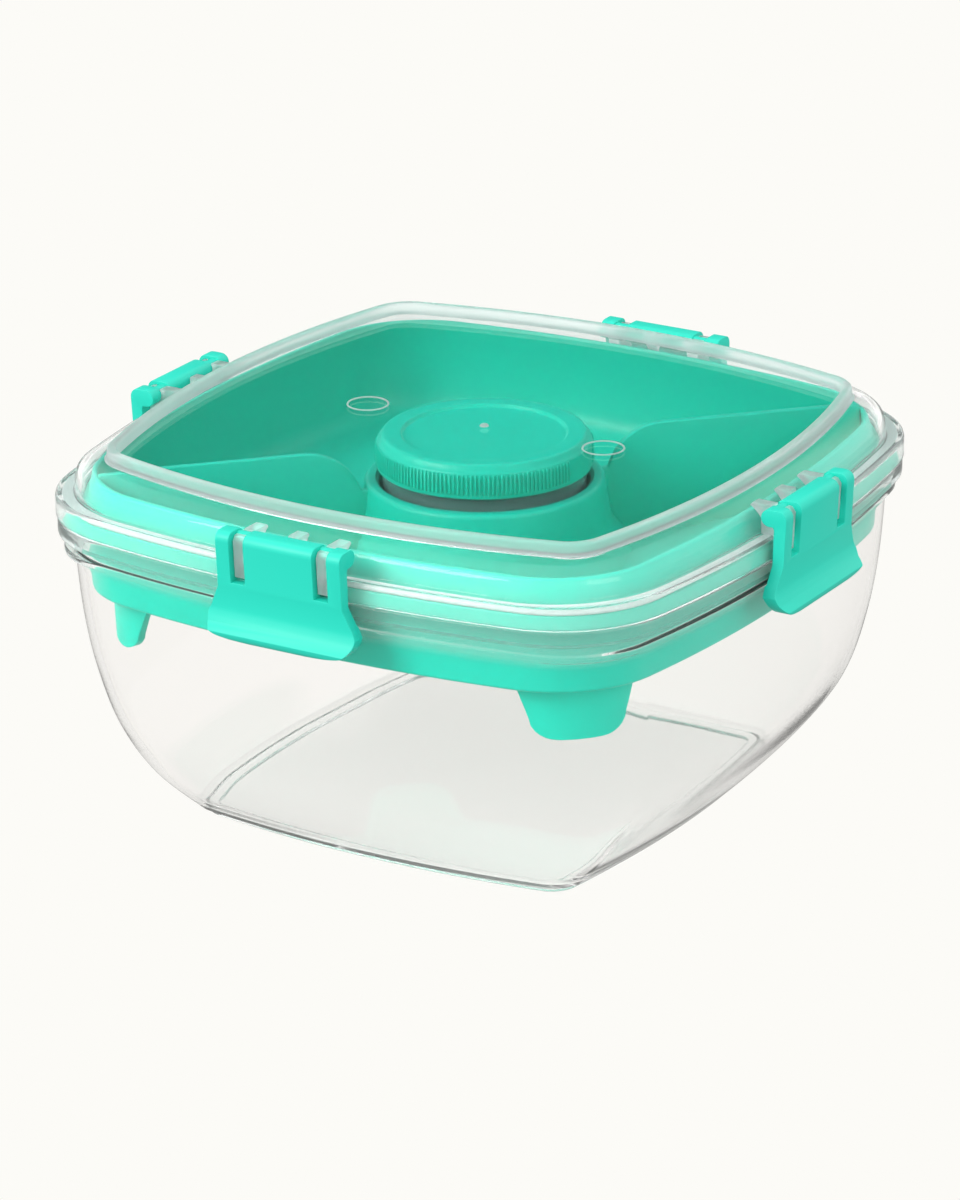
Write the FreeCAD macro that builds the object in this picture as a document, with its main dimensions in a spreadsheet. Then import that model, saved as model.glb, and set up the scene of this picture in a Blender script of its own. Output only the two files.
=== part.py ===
"""Snap lid food container: bowl, compartment tray, dressing pot, lid and four clips.

Millimetres. The origin is the centre of the footprint on the table, +Z is up,
and the four clips stand on the -Y (front), +Y (back), -X (left) and +X (right) sides.
Every outline seen from above is a bowed square: four long side arcs joined by
four tangent corner arcs. "half" is the reach to the middle of a side, "corner"
the radius of a corner arc and "bow" the radius of a side arc.
"""
import FreeCAD, Part
import math
import os
import Sketcher

V = FreeCAD.Vector
doc = FreeCAD.newDocument("snap_lid_container")
sheet = doc.addObject("Spreadsheet::Sheet", "Dims")

# name: (height, half, corner, bow) of each outline
OUTLINES = {
    # bowl, from the table up
    "foot": (0.0, 52.0, 6.5, 272.0),
    "wall_base": (2.0, 54.3, 8.0, 272.0),
    "wall_low": (12.0, 64.0, 14.5, 282.0),
    "wall_curve": (24.0, 71.6, 23.5, 295.0),
    "wall_mid": (38.0, 75.7, 26.0, 305.0),
    "wall_high": (52.0, 77.5, 25.0, 315.0),
    "wall_top": (67.5, 78.2, 23.0, 321.0),
    "ledge": (66.4, 79.7, 20.5, 321.0),
    "rim": (70.7, 82.15, 28.2, 321.0),
    # compartment tray
    "tray_foot": (57.75, 75.5, 24.8, 320.0),
    "tray_side": (75.0, 76.0, 24.8, 321.0),
    "tray_lip": (83.5, 74.6, 25.2, 320.0),
    "tray_flange": (74.5, 80.5, 27.0, 323.0),
    "well_floor": (59.5, 65.0, 17.0, 300.0),
    "well_foot": (60.6, 69.6, 20.0, 310.0),
    "well_bend": (64.0, 72.8, 22.3, 318.0),
    "well_side": (74.0, 74.2, 23.2, 320.0),
    "well_lip": (83.5, 73.4, 24.0, 320.0),
    # lid
    "skirt": (74.6, 82.5, 29.0, 325.0),
    "shoulder": (79.4, 78.8, 29.0, 325.0),
    "shoulder_top": (83.4, 78.6, 28.8, 322.0),
    "dome_edge": (85.4, 77.2, 26.0, 300.0),
    "dome_slope": (86.8, 74.4, 19.0, 250.0),
    "ridge_foot": (87.7, 71.9, 10.5, 215.0),
}

# alias, value, what it is
SIZES = [
    ("bowl_wall", 1.6, "thickness of the bowl wall"),
    ("bowl_floor", 1.8, "thickness of the bowl floor"),
    ("foot_recess", 1.0, "depth of the recess inside the foot ring"),
    ("foot_ring", 2.6, "width of the foot ring"),
    ("ledge_height", 1.5, "height of the small ledge under the rim"),
    ("rim_top", 74.4, "height of the bowl's rim"),
    ("flange_height", 3.2, "height of the tray flange"),
    ("flange_wall", 1.1, "thickness of the tray flange, which is hollow underneath"),
    ("collar_rise", 75.0, "height of the collar around the pot well"),
    ("collar_radius", 27.4, "outer radius of the collar's rounded top"),
    ("collar_flare", 31.5, "radius of the collar where it meets the tray floor"),
    ("pot_bore", 24.2, "radius of the pot well"),
    ("pot_well_wall", 1.3, "thickness of the pot well"),
    ("pot_well_floor", 45.8, "height of the pot well's floor"),
    ("divider_top", 84.0, "height of the dividers"),
    ("divider_thick", 1.9, "thickness of the dividers"),
    ("divider_start", 42.0, "distance from the centre where a divider starts to fall"),
    ("divider_end", 29.0, "distance from the centre where a divider's rounded end stops"),
    ("divider_round", 13.5, "radius of a divider's rounded end"),
    ("leg_bottom", 45.0, "height of the tray legs' ends"),
    ("leg_thick", 2.2, "thickness of a tray leg"),
    ("leg_reach", 86.0, "distance from the centre to a leg's outer face"),
    ("leg_top_half", 13.6, "half the width of a leg at its root"),
    ("leg_low_half", 10.8, "half the width of a leg just above its rounded corners"),
    ("leg_foot_half", 5.0, "half the width of a leg's flat end"),
    ("leg_corner", 6.1, "radius of a leg's rounded corners"),
    ("leg_corner_rise", 4.4, "height of a leg's rounded corners"),
    ("lid_wall", 1.5, "thickness of the lid"),
    ("skirt_wall", 1.6, "thickness of the lid's outer skirt"),
    ("skirt_height", 5.3, "height of the lid's outer skirt"),
    ("lip_bottom", 77.95, "height of the inner lip that holds the seal"),
    ("ridge_top", 90.3, "height of the ridge round the window"),
    ("ridge_width", 2.3, "width of the ridge"),
    ("window_top", 87.7, "height of the flat window"),
    ("seal_bottom", 77.8, "height of the seal's underside"),
    ("seal_top", 79.0, "height of the seal's top"),
    ("pin_reach", 82.3, "distance from the centre to a clip's pin"),
    ("pin_rise", 85.1, "height of a clip's pin"),
    ("pin_radius", 1.6, "radius of a clip's pin"),
    ("pin_gap", 0.08, "radial clearance of a pin in its hook"),
    ("lobe_radius", 2.0, "radius of the rounded end of a clip's arms"),
    ("slot_place", 10.7, "distance of a clip's slots from its middle"),
    ("slot_width", 3.7, "width of a clip's slots"),
    ("hook_width", 3.0, "thickness of a hook or fin"),
    ("hook_low", 76.6, "height of a hook's lower end"),
    ("clip_top_half", 16.0, "half the width of a clip at its arms"),
    ("clip_foot_half", 19.0, "half the width of a clip at its lip"),
    ("pot_bottom", 46.0, "height of the dressing pot's underside"),
    ("pot_radius", 23.4, "outer radius of the dressing pot"),
    ("pot_wall", 1.3, "thickness of the dressing pot"),
    ("pot_neck", 22.0, "outer radius of the pot's neck"),
    ("pot_rim", 83.2, "height of the pot's rim"),
    ("pot_lid_radius", 25.0, "outer radius of the pot lid"),
    ("pot_lid_bottom", 77.7, "height of the pot lid's lower edge"),
    ("pot_lid_top", 85.6, "height of the pot lid's top"),
    ("pot_lid_bore", 23.3, "inner radius of the pot lid's skirt"),
    ("pot_lid_recess", 18.6, "radius of the shallow recess in the pot lid"),
    ("fin_top", 86.6, "height of the fins and hooks on the lid"),
    ("slot_floor", 75.6, "height of the lower end of a clip's slots"),
    ("clip_face", 86.6, "distance from the centre to a clip's outer face"),
    ("clip_inner", 83.5, "distance from the centre to a clip's inner face"),
    ("clip_bottom", 62.4, "height of a clip's lower edge"),
    ("clip_waist", 69.4, "height of the hollow across a clip's face"),
    ("catch_tip", 82.4, "distance from the centre to the tip of a clip's catch"),
    ("liner_thick", 0.8, "thickness of the pot lid's seal"),
]

values = {}


def add_cell(row, alias, value, note):
    sheet.set("A%d" % row, note)
    sheet.set("B%d" % row, str(value))
    sheet.setAlias("B%d" % row, alias)
    values[alias] = value


row = 1
for outline, numbers in OUTLINES.items():
    for kind, value in zip(("z", "half", "corner", "bow"), numbers):
        add_cell(row, "%s_%s" % (outline, kind), value, "%s: %s" % (outline, kind))
        row += 1
for alias, value, note in SIZES:
    add_cell(row, alias, value, note)
    row += 1
doc.recompute()


class Size:
    """A length that knows both its value and the sheet formula it comes from."""

    def __init__(self, value, text):
        self.value = value
        self.text = text

    def __add__(self, other):
        return Size(self.value + number(other), "%s + %s" % (self.text, wording(other)))

    def __sub__(self, other):
        return Size(self.value - number(other), "%s - (%s)" % (self.text, wording(other)))

    def __mul__(self, factor):
        return Size(self.value * factor, "(%s) * %s" % (self.text, factor))


def number(size):
    return size.value if isinstance(size, Size) else float(size)


def wording(size):
    return size.text if isinstance(size, Size) else str(size)


def dim(alias):
    return Size(values[alias], "Dims.%s" % alias)


def plane(body, role):
    for feature in body.Origin.OriginFeatures:
        if feature.Role == role:
            return feature
    raise ValueError(role)


def new_body(name):
    body = doc.addObject("PartDesign::Body", name)
    body.Label = name
    body.Placement = FreeCAD.Placement()
    return body


def corner_centre(half, corner, bow):
    """Both coordinates of the corner arcs' centres."""
    reach = bow - half
    span = bow - corner
    return (-reach + math.sqrt(2 * span * span - reach * reach)) / 2


def flat_sketch(body, name, height):
    """An empty sketch parallel to the table."""
    sketch = body.newObject("Sketcher::SketchObject", name)
    sketch.AttachmentSupport = (plane(body, "XY_Plane"), "")
    sketch.MapMode = "FlatFace"
    sketch.AttachmentOffset = FreeCAD.Placement(V(0, 0, number(height)), FreeCAD.Rotation())
    if isinstance(height, Size):
        sketch.setExpression("AttachmentOffset.Base.z", height.text)
    return sketch


def add_outline(sketch, outline, inset=0):
    """Draws a bowed square into a sketch, drawn in by inset."""
    half = dim(outline + "_half") - inset
    corner = dim(outline + "_corner") - inset
    bow = dim(outline + "_bow") - inset
    centre = corner_centre(half.value, corner.value, bow.value)
    reach = dim(outline + "_bow") - dim(outline + "_half")
    turn = math.atan2(centre, centre + reach.value)
    first = sketch.GeometryCount
    up = V(0, 0, 1)
    for side in range(4):
        angle = side * math.pi / 2
        side_place = V(-reach.value * math.cos(angle), -reach.value * math.sin(angle), 0)
        side_circle = Part.Circle(side_place, up, bow.value)
        sketch.addGeometry(Part.ArcOfCircle(side_circle, angle - turn, angle + turn))
        diagonal = angle + math.pi / 4
        far = centre * math.sqrt(2)
        corner_place = V(far * math.cos(diagonal), far * math.sin(diagonal), 0)
        corner_circle = Part.Circle(corner_place, up, corner.value)
        corner_end = angle + math.pi / 2 - turn
        sketch.addGeometry(Part.ArcOfCircle(corner_circle, angle + turn, corner_end))
    for side in range(4):
        this_side = first + 2 * side
        this_corner = this_side + 1
        next_side = first + (2 * side + 2) % 8
        sketch.addConstraint(Sketcher.Constraint("Tangent", this_side, 2, this_corner, 1))
        sketch.addConstraint(Sketcher.Constraint("Tangent", this_corner, 2, next_side, 1))
        sketch.addConstraint(Sketcher.Constraint("PointOnObject", this_side, 3, -1 - side % 2))
        if side:
            sketch.addConstraint(Sketcher.Constraint("Equal", first, this_side))
            sketch.addConstraint(Sketcher.Constraint("Equal", first + 1, this_corner))
    fix(sketch, ("Radius", first), bow)
    fix(sketch, ("Radius", first + 1), corner)
    for side in range(4):
        this_side = first + 2 * side
        kind = "DistanceY" if side % 2 else "DistanceX"
        if side < 2:
            fix(sketch, (kind, this_side, 3, -1, 1), reach)
        else:
            fix(sketch, (kind, -1, 1, this_side, 3), reach)


def outline_sketch(body, name, outline, inset=0, height=None):
    sketch = flat_sketch(body, name, height or dim(outline + "_z"))
    add_outline(sketch, outline, inset)
    return sketch


def upright_sketch(body, name, role, turn=0.0, forward=0.0):
    """A sketch on an upright origin plane, turned about Z and moved along its normal."""
    sketch = body.newObject("Sketcher::SketchObject", name)
    sketch.AttachmentSupport = (plane(body, role), "")
    sketch.MapMode = "FlatFace"
    spin = FreeCAD.Rotation(V(0, 1, 0), turn)
    sketch.AttachmentOffset = FreeCAD.Placement(spin.multVec(V(0, 0, forward)), spin)
    return sketch


def add_path(sketch, points):
    """Draws a closed loop through points whose coordinates are sizes or plain numbers.

    A point is (x, y), reached by a straight line, or (x, y, radius, side), reached by an
    arc whose centre lies to the left (side 1) or to the right (side -1) of the way there.
    """
    first = sketch.GeometryCount
    ends = []
    for index, point in enumerate(points):
        start = V(number(points[index - 1][0]), number(points[index - 1][1]), 0)
        end = V(number(point[0]), number(point[1]), 0)
        if len(point) == 2:
            sketch.addGeometry(Part.LineSegment(start, end))
            ends.append((1, 2))
            continue
        radius = number(point[2])
        side = point[3]
        chord = end - start
        rise = math.sqrt(radius * radius - chord.Length * chord.Length / 4)
        sideways = V(-chord.y, chord.x, 0).normalize()
        centre = (start + end) * 0.5 + sideways * (rise * side)
        start_angle = math.atan2(start.y - centre.y, start.x - centre.x)
        end_angle = math.atan2(end.y - centre.y, end.x - centre.x)
        circle = Part.Circle(centre, V(0, 0, 1), radius)
        if side > 0:
            sketch.addGeometry(Part.ArcOfCircle(circle, start_angle, end_angle))
            ends.append((1, 2))
        else:
            sketch.addGeometry(Part.ArcOfCircle(circle, end_angle, start_angle))
            ends.append((2, 1))
    count = len(points)
    for index, point in enumerate(points):
        this = first + index
        following = first + (index + 1) % count
        start_of_following = ends[(index + 1) % count][0]
        end_of_this = ends[index][1]
        sketch.addConstraint(
            Sketcher.Constraint("Coincident", this, end_of_this, following, start_of_following))
        place(sketch, "DistanceX", -2, this, end_of_this, point[0])
        place(sketch, "DistanceY", -1, this, end_of_this, point[1])
        if len(point) == 4:
            fix(sketch, ("Radius", this), point[2])


def fix(sketch, rule, size):
    """Adds a dimension and, when it comes from the sheet, ties it there."""
    at = sketch.addConstraint(Sketcher.Constraint(*rule, number(size)))
    if isinstance(size, Size):
        sketch.setExpression("Constraints[%d]" % at, size.text)


def place(sketch, kind, axis, geometry, end, size):
    """Fixes one coordinate of a point; a coordinate of 0 puts it on the axis."""
    if number(size) == 0:
        sketch.addConstraint(Sketcher.Constraint("PointOnObject", geometry, end, axis))
    else:
        fix(sketch, (kind, -1, 1, geometry, end), size)


def pad(body, name, sketch, length, reverse=False, middle=False):
    feature = body.newObject("PartDesign::Pad", name)
    feature.Profile = sketch
    feature.setExpression("Length", wording(length))
    feature.Reversed = reverse
    feature.Midplane = middle
    return feature


def pocket(body, name, sketch, length=None, reverse=False):
    """Cuts against the sketch's normal, or along it when reversed; no length cuts through."""
    feature = body.newObject("PartDesign::Pocket", name)
    feature.Profile = sketch
    if length is None:
        feature.Type = "ThroughAll"
    else:
        feature.setExpression("Length", wording(length))
    feature.Reversed = reverse
    return feature


def revolve(body, name, sketch):
    feature = body.newObject("PartDesign::Revolution", name)
    feature.Profile = sketch
    feature.ReferenceAxis = (sketch, ["V_Axis"])
    feature.Angle = 360.0
    return feature


def round_pattern(body, name, features):
    feature = body.newObject("PartDesign::PolarPattern", name)
    feature.Originals = features
    feature.Axis = (plane(body, "Z_Axis"), [""])
    feature.Angle = 360.0
    feature.Occurrences = 4
    body.Tip = feature
    return feature


def loft(body, kind, name, sketches):
    feature = body.newObject("PartDesign::%sLoft" % kind, name)
    feature.Profile = sketches[0]
    feature.Sections = sketches[1:]
    return feature


def make_bowl():
    body = new_body("bowl")
    wall = dim("bowl_wall")
    rim_top = dim("rim_top")
    outside = ["wall_base", "wall_low", "wall_curve", "wall_mid", "wall_high", "wall_top"]
    loft(body, "Additive", "bowl_outside", [outline_sketch(body, "out_" + n, n) for n in outside])
    foot = outline_sketch(body, "foot_outline", "foot")
    pad(body, "foot_pad", foot, dim("wall_base_z") + 0.6)
    neck = outline_sketch(body, "neck_outline", "wall_top")
    pad(body, "neck_pad", neck, rim_top - dim("wall_top_z"))
    ledge = outline_sketch(body, "ledge_outline", "ledge")
    pad(body, "ledge_pad", ledge, dim("ledge_height"))
    rim = outline_sketch(body, "rim_outline", "rim")
    pad(body, "rim_pad", rim, rim_top - dim("rim_z"))
    # the wall leans most near the floor, so it is drawn in further there
    lean = {"wall_base": 0.4, "wall_low": 1.4, "wall_curve": 1.15}
    inside = []
    for n in outside:
        height = None
        if n == "wall_base":
            height = dim("wall_base_z") + dim("bowl_floor")
        inside.append(outline_sketch(body, "in_" + n, n, wall * lean.get(n, 1.0), height))
    loft(body, "Subtractive", "bowl_inside", inside)
    mouth = outline_sketch(body, "mouth_outline", "wall_top", wall, rim_top)
    pocket(body, "mouth", mouth, rim_top - dim("wall_top_z"))
    recess = outline_sketch(body, "recess_outline", "foot", dim("foot_ring"))
    pocket(body, "foot_recess", recess, dim("foot_recess"), reverse=True)
    return body


def make_tray():
    body = new_body("tray")
    outside = ["tray_foot", "tray_side", "tray_lip"]
    loft(body, "Additive", "tray_outside", [outline_sketch(body, "out_" + n, n) for n in outside])
    flange = outline_sketch(body, "flange_outline", "tray_flange")
    pad(body, "flange_pad", flange, dim("flange_height"))
    inside = ["well_floor", "well_foot", "well_bend", "well_side", "well_lip"]
    loft(body, "Subtractive", "tray_inside", [outline_sketch(body, "in_" + n, n) for n in inside])
    hollow = flat_sketch(body, "flange_hollow_outline", dim("tray_flange_z"))
    add_outline(hollow, "tray_flange", dim("flange_wall"))
    add_outline(hollow, "tray_side")
    hollow_depth = dim("flange_height") - dim("flange_wall")
    pocket(body, "flange_hollow", hollow, hollow_depth, reverse=True)

    floor = dim("well_floor_z")
    collar_top = dim("collar_rise")
    collar = upright_sketch(body, "collar_profile", "XZ_Plane")
    bore = dim("pot_bore")
    outer = bore + dim("pot_well_wall")
    add_path(collar, [
        (bore, collar_top),
        (bore, dim("pot_well_floor")),
        (0, dim("pot_well_floor")),
        (0, dim("pot_well_floor") - dim("pot_well_wall")),
        (outer, dim("pot_well_floor") - dim("pot_well_wall")),
        (outer, dim("tray_foot_z") + 0.4),
        (dim("collar_flare") + 1.5, dim("tray_foot_z") + 0.4),
        (dim("collar_flare") + 1.5, floor),
        (dim("collar_flare") - 2.4, floor + 4.0, 4.8, -1),
        (dim("collar_radius"), collar_top - 1.0),
        (dim("collar_radius") - 0.7, collar_top),
    ])
    bore_cut = flat_sketch(body, "bore_outline", collar_top)
    bore_cut.addGeometry(Part.Circle(V(0, 0, 0), V(0, 0, 1), bore.value))
    bore_cut.addConstraint(Sketcher.Constraint("Coincident", 0, 3, -1, 1))
    fix(bore_cut, ("Radius", 0), bore)
    pocket(body, "pot_bore", bore_cut, collar_top - dim("tray_foot_z") + 1.0)
    revolve(body, "collar", collar)

    for name, turn in (("far", 45.0), ("near", 225.0)):
        sketch = upright_sketch(body, name + "_divider_profile", "XZ_Plane", turn)
        top = dim("divider_top")
        far_end = 89.0
        buried = dim("collar_radius") - 1.2
        add_path(sketch, [
            (far_end, top),
            (dim("divider_start"), top),
            (dim("divider_end"), collar_top - 0.8, dim("divider_round"), 1),
            (buried, collar_top - 0.8),
            (buried, floor - 0.8),
            (far_end, floor - 0.8),
        ])
        pad(body, name + "_divider", sketch, dim("divider_thick"), middle=True)

    corner = corner_centre(*[dim("tray_foot_" + kind).value for kind in ("half", "corner", "bow")])
    leg_outer = dim("leg_reach").value - corner * math.sqrt(2)
    leg_inner = leg_outer - dim("leg_thick").value
    leg_half = dim("leg_top_half").value
    spread = math.asin((leg_half + 1.0) / leg_outer)
    strip = flat_sketch(body, "leg_outline", dim("tray_foot_z") + 1.0)
    centre = V(corner, corner, 0)
    up = V(0, 0, 1)
    diagonal = math.pi / 4
    angles = (diagonal - spread, diagonal + spread)
    strip.addGeometry(Part.ArcOfCircle(Part.Circle(centre, up, leg_outer), *angles))
    strip.addGeometry(Part.ArcOfCircle(Part.Circle(centre, up, leg_inner), *angles))
    for angle in angles:
        ray = V(math.cos(angle), math.sin(angle), 0)
        strip.addGeometry(Part.LineSegment(centre + ray * leg_inner, centre + ray * leg_outer))
    for line, end in ((2, 1), (3, 2)):
        strip.addConstraint(Sketcher.Constraint("Coincident", 0, end, line, 2))
        strip.addConstraint(Sketcher.Constraint("Coincident", 1, end, line, 1))
    strip.addConstraint(Sketcher.Constraint("Coincident", 0, 3, 1, 3))
    strip.addConstraint(Sketcher.Constraint("Radius", 0, leg_outer))
    strip.addConstraint(Sketcher.Constraint("Radius", 1, leg_inner))
    length = dim("tray_foot_z") + 1.0 - dim("leg_bottom")
    leg = pad(body, "leg", strip, length, reverse=True)
    trim = upright_sketch(body, "leg_trim_outline", "YZ_Plane", 45.0, 60.0)
    foot_half = dim("leg_foot_half")
    bottom = dim("leg_bottom")
    beyond = 20.0
    for side in (1, -1):
        add_path(trim, [
            (foot_half * side, bottom - 1.0),
            (beyond * side, bottom - 1.0),
            (beyond * side, dim("tray_foot_z")),
            (dim("leg_top_half") * side, dim("tray_foot_z")),
            (dim("leg_low_half") * side, bottom + dim("leg_corner_rise")),
            (foot_half * side, bottom, dim("leg_corner"), -side),
        ])
    leg_trim = pocket(body, "leg_trim", trim, 40, reverse=True)
    round_pattern(body, "legs", [leg, leg_trim])
    return body


def make_lid():
    body = new_body("lid")
    wall = dim("lid_wall")
    skirt = outline_sketch(body, "skirt_outline", "skirt")
    pad(body, "skirt_pad", skirt, dim("skirt_height"))
    outside = ["shoulder", "shoulder_top", "dome_edge", "dome_slope", "ridge_foot"]
    loft(body, "Additive", "dome", [outline_sketch(body, "out_" + n, n) for n in outside])
    ridge_height = dim("ridge_top") - dim("window_top")
    ridge = outline_sketch(body, "ridge_outline", "ridge_foot")
    pad(body, "ridge", ridge, ridge_height)
    window = outline_sketch(body, "window_outline", "ridge_foot", dim("ridge_width"), dim("ridge_top"))
    pocket(body, "window", window, ridge_height)

    # hooks for the clips' pins, and a fin between each pair that stops an open clip
    pin_x = dim("pin_reach")
    pin_z = dim("pin_rise")
    bore = dim("pin_radius") + dim("pin_gap")
    throat = 1.3
    throat_rise = math.sqrt(bore.value ** 2 - throat ** 2)
    fin_top = dim("fin_top")
    hook_low = dim("hook_low")
    originals = []
    for index, place_y in enumerate((-dim("slot_place").value, dim("slot_place").value)):
        hook = upright_sketch(body, "hook_profile_%d" % index, "XZ_Plane", 0, place_y)
        add_path(hook, [
            (dim("dome_slope_half") + 1.0, dim("dome_slope_z") - 1.0),
            (dim("dome_slope_half") + 1.6, fin_top),
            (pin_x - throat, fin_top),
            (pin_x - throat, pin_z + throat_rise),
            (pin_x - bore, pin_z, bore, 1),
            (pin_x, pin_z - bore, bore, 1),
            (pin_x + bore, pin_z, bore, 1),
            (pin_x + throat, pin_z + throat_rise, bore, 1),
            (pin_x + throat, fin_top - 0.1),
            (pin_x + 2.3, fin_top - 0.3),
            (pin_x + 3.1, pin_z, 2.2, -1),
            (pin_x + 2.6, hook_low),
            (pin_x - 0.5, hook_low),
            (pin_x - 0.5, dim("shoulder_z")),
            (dim("shoulder_half") - 0.7, dim("shoulder_z")),
            (dim("shoulder_half") - 0.7, dim("shoulder_top_z")),
        ])
        originals.append(pad(body, "hook_%d" % index, hook, dim("hook_width"), middle=True))
    fin = upright_sketch(body, "fin_profile", "XZ_Plane")
    add_path(fin, [
        (dim("dome_slope_half") + 1.0, dim("dome_slope_z") - 1.0),
        (dim("dome_slope_half") + 1.6, fin_top),
        (pin_x - 2.5, fin_top),
        (pin_x - 2.5, pin_z - 0.6),
        (dim("shoulder_half") - 0.5, dim("shoulder_top_z") - 1.5),
    ])
    originals.append(pad(body, "fin", fin, dim("hook_width"), middle=True))
    round_pattern(body, "hooks_and_fins", originals)

    cavity = [
        ("shoulder", wall, dim("skirt_z") - 0.4),
        ("shoulder_top", wall, dim("shoulder_top_z") - 0.8),
        ("dome_edge", wall * 0.85, dim("dome_edge_z") - 1.1),
        ("dome_slope", wall * 0.5, dim("dome_slope_z") - 1.35),
        ("ridge_foot", wall * 0.25, dim("window_top") - wall),
    ]
    inside = [outline_sketch(body, "in_" + n, n, inset, height) for n, inset, height in cavity]
    loft(body, "Subtractive", "cavity", inside)
    channel = flat_sketch(body, "channel_outline", dim("skirt_z"))
    add_outline(channel, "skirt", dim("skirt_wall"))
    add_outline(channel, "shoulder")
    pocket(body, "channel", channel, dim("seal_top") + 0.05 - dim("skirt_z"), reverse=True)
    lip = outline_sketch(body, "lip_outline", "shoulder", dim("lid_wall") * -0.1, dim("skirt_z"))
    pocket(body, "lip_cut", lip, dim("lip_bottom") - dim("skirt_z"), reverse=True)
    body.Tip = body.Group[-1]
    return body


def make_lid_seal():
    body = new_body("lid_seal")
    ring = flat_sketch(body, "seal_outline", dim("seal_bottom"))
    add_outline(ring, "skirt", dim("skirt_wall") + 0.05)
    add_outline(ring, "shoulder", dim("pin_gap") * -1)
    pad(body, "seal_pad", ring, dim("seal_top") - dim("seal_bottom"))
    return body


def make_clip(name, turn):
    body = new_body(name)
    pin_x = dim("pin_reach")
    pin_z = dim("pin_rise")
    lobe = dim("lobe_radius")
    top = pin_z + lobe
    face = dim("clip_face")
    inner = dim("clip_inner")
    tip = dim("catch_tip")
    profile = upright_sketch(body, "side_profile", "XZ_Plane")
    add_path(profile, [
        (pin_x, top),
        (pin_x - lobe, pin_z, lobe, 1),
        (pin_x, pin_z - lobe, lobe, 1),
        (inner, pin_z - lobe),
        (inner - 0.3, dim("rim_top")),
        (tip + 0.4, dim("rim_z") - 0.3),
        (tip, dim("rim_z") - 0.9),
        (tip, dim("rim_z") - 3.0),
        (tip + 1.6, dim("rim_z") - 6.0),
        (face - 1.4, dim("clip_bottom") + 0.2),
        (face + 0.8, dim("clip_bottom"), 1.8, 1),
        (face + 1.9, dim("clip_bottom") + 1.4, 1.5, 1),
        (face - 0.7, dim("clip_waist") - 2.2),
        (face - 1.2, dim("clip_waist"), 4.0, -1),
        (face - 0.6, dim("rim_top")),
        (face, pin_z),
        (face - 1.9, top, 2.0, 1),
    ])
    pad(body, "plate", profile, dim("clip_foot_half") * 2, middle=True)
    front = upright_sketch(body, "front_outline", "YZ_Plane")
    top_half = dim("clip_top_half")
    foot_half = dim("clip_foot_half")
    low = dim("clip_bottom")
    add_path(front, [(30, 95), (-30, 95), (-30, 55), (30, 55)])
    add_path(front, [
        (top_half, top + 2.0),
        (top_half * -1, top + 2.0),
        (top_half * -1, dim("rim_top")),
        (foot_half * -1, low + 5.5),
        (foot_half * -1 + 3.6, low + 1.1, 4.2, 1),
        (foot_half - 3.6, low + 1.1, 120.0, 1),
        (foot_half, low + 5.5, 4.2, 1),
        (top_half, dim("rim_top")),
    ])
    pocket(body, "front_trim", front, 100, reverse=True)
    slots = upright_sketch(body, "slot_outline", "YZ_Plane")
    for side in (1, -1):
        near = dim("slot_place") * side - dim("slot_width") * 0.5
        far = dim("slot_place") * side + dim("slot_width") * 0.5
        floor = dim("slot_floor")
        add_path(slots, [(near, floor), (far, floor), (far, 95), (near, 95)])
    pocket(body, "slots", slots, 100, reverse=True)
    pin = upright_sketch(body, "pin_outline", "XZ_Plane")
    pin.addGeometry(Part.Circle(V(pin_x.value, pin_z.value, 0), V(0, 0, 1), dim("pin_radius").value))
    fix(pin, ("DistanceX", -1, 1, 0, 3), pin_x)
    fix(pin, ("DistanceY", -1, 1, 0, 3), pin_z)
    fix(pin, ("Radius", 0), dim("pin_radius"))
    pad(body, "pin", pin, dim("slot_place") * 2 + dim("slot_width") + 2.0, middle=True)
    body.Placement = FreeCAD.Placement(V(0, 0, 0), FreeCAD.Rotation(V(0, 0, 1), turn))
    return body


def make_dressing_pot():
    body = new_body("dressing_pot")
    profile = upright_sketch(body, "pot_profile", "XZ_Plane")
    low = dim("pot_bottom")
    radius = dim("pot_radius")
    wall = dim("pot_wall")
    neck = dim("pot_neck")
    neck_low = dim("pot_lid_bottom") - 0.5
    add_path(profile, [
        (0, low),
        (radius - 2.6, low),
        (radius - 0.6, low + 2.0, 2.0, 1),
        (radius, neck_low - 0.8),
        (radius - 0.6, neck_low, 0.8, 1),
        (neck, neck_low),
        (neck, dim("pot_rim")),
        (neck - wall, dim("pot_rim")),
        (neck - wall, neck_low - 0.5),
        (radius - wall, neck_low - 2.2),
        (radius - wall - 0.6, low + wall + 1.6),
        (radius - wall - 2.2, low + wall, 1.6, -1),
        (0, low + wall),
    ])
    revolve(body, "pot", profile)
    return body


def make_pot_lid():
    body = new_body("pot_lid")
    profile = upright_sketch(body, "cap_profile", "XZ_Plane")
    radius = dim("pot_lid_radius")
    top = dim("pot_lid_top")
    recess = dim("pot_lid_recess")
    ceiling = dim("pot_rim") + dim("liner_thick") + 0.1
    add_path(profile, [
        (0, top - 0.5),
        (0, ceiling),
        (dim("pot_lid_bore"), ceiling),
        (dim("pot_lid_bore"), dim("pot_lid_bottom")),
        (radius, dim("pot_lid_bottom")),
        (radius, top - 1.8),
        (radius - 1.8, top, 1.8, 1),
        (recess + 0.5, top),
        (recess, top - 0.5, 0.5, -1),
    ])
    revolve(body, "cap", profile)
    return body


def make_pot_lid_seal():
    body = new_body("pot_lid_seal")
    low = dim("pot_rim") + 0.05
    disc = flat_sketch(body, "disc_outline", low)
    disc.addGeometry(Part.Circle(V(0, 0, 0), V(0, 0, 1), dim("pot_lid_bore").value - 0.4))
    disc.addConstraint(Sketcher.Constraint("Coincident", 0, 3, -1, 1))
    fix(disc, ("Radius", 0), dim("pot_lid_bore") - 0.4)
    pad(body, "disc", disc, dim("liner_thick"))
    return body


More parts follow.
